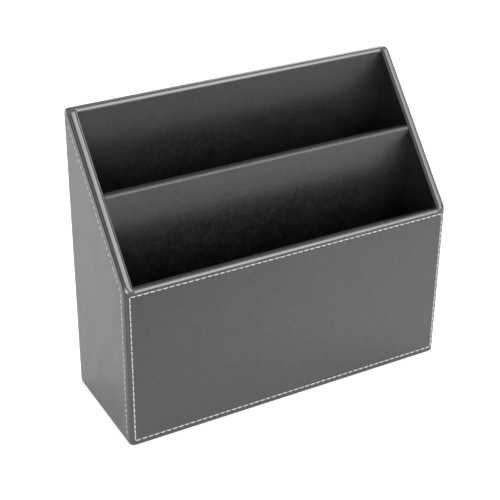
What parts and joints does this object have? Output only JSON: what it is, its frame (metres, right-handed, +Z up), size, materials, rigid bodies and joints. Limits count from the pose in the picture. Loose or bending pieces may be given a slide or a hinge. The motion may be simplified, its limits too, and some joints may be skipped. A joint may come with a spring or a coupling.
{
  "type": "letter holder",
  "caption": "Free-standing desk letter holder with a tall back, a low front, sloped sides and a divider between its pockets; boards covered in stitched black leatherette.",
  "frame": {"origin": "on the surface that the holder stands on, under the middle of the base", "axes": "+X to the right across the width, +Y from the low front to the tall back, +Z up"},
  "size_m": [0.2458, 0.0888, 0.2115],
  "materials": {
    "leatherette": "black, semi-gloss, fine grain",
    "lining": "black, semi-gloss, fine grain",
    "board": "raw medium-density fibreboard",
    "thread": "white twisted sewing thread",
    "pin_steel": "bright drawn wire",
    "felt": "black pressed felt"
  },
  "bodies": {
    "root": {"front_cover": "leatherette", "back_cover": "leatherette", "left_side_cover": "leatherette", "right_side_cover": "leatherette", "divider_cover": "leatherette", "front_lining": "lining", "back_lining": "lining", "left_front_lining": "lining", "right_front_lining": "lining", "left_rear_lining": "lining", "right_rear_lining": "lining", "front_floor_lining": "lining", "rear_floor_lining": "lining", "front_board": "board", "back_board": "board", "left_side_board": "board", "right_side_board": "board", "base_board": "board", "divider_board": "board", "front_stitching": "thread", "left_side_stitching": "thread", "right_side_stitching": "thread", "back_stitching": "thread", "left_panel_pins": "pin_steel", "right_panel_pins": "pin_steel", "base_felt": "felt"}
  },
  "joints": []
}
